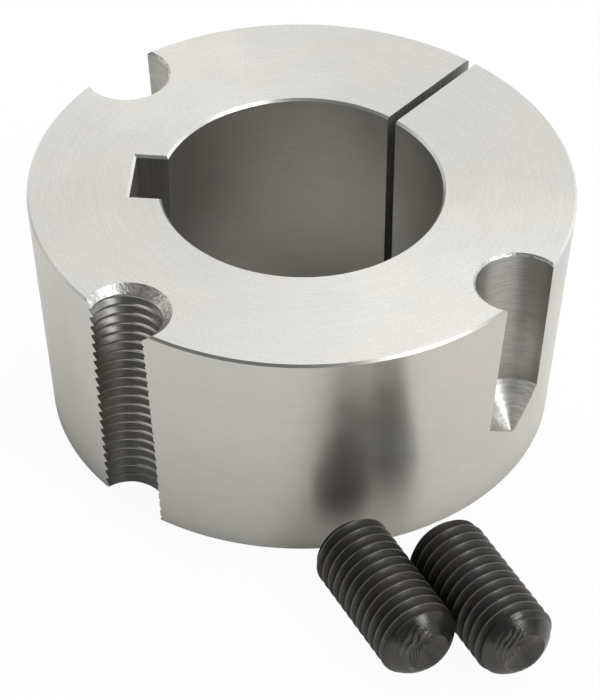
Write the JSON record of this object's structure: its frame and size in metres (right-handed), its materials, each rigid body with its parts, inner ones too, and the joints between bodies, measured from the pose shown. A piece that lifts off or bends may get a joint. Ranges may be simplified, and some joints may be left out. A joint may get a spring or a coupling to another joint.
{
  "type": "tapered split shaft bushing",
  "caption": "Tapered split bushing with a keyed bore, a slit and half holes for its screws, to clamp a hub to a shaft, with its socket set screws lying beside it.",
  "frame": {"origin": "bore axis, in the plane of the small end's face, which stands on the floor", "axes": "+Z along the bore axis from the small end to the large end, -X towards the keyway"},
  "size_m": [0.1078, 0.1397, 0.0508],
  "materials": {
    "turned_steel": "satin, turned and ground",
    "blackened_steel": "black oxide"
  },
  "bodies": {
    "root": {"bushing": "turned_steel", "set_screw_left": "blackened_steel", "set_screw_right": "blackened_steel"}
  },
  "joints": []
}
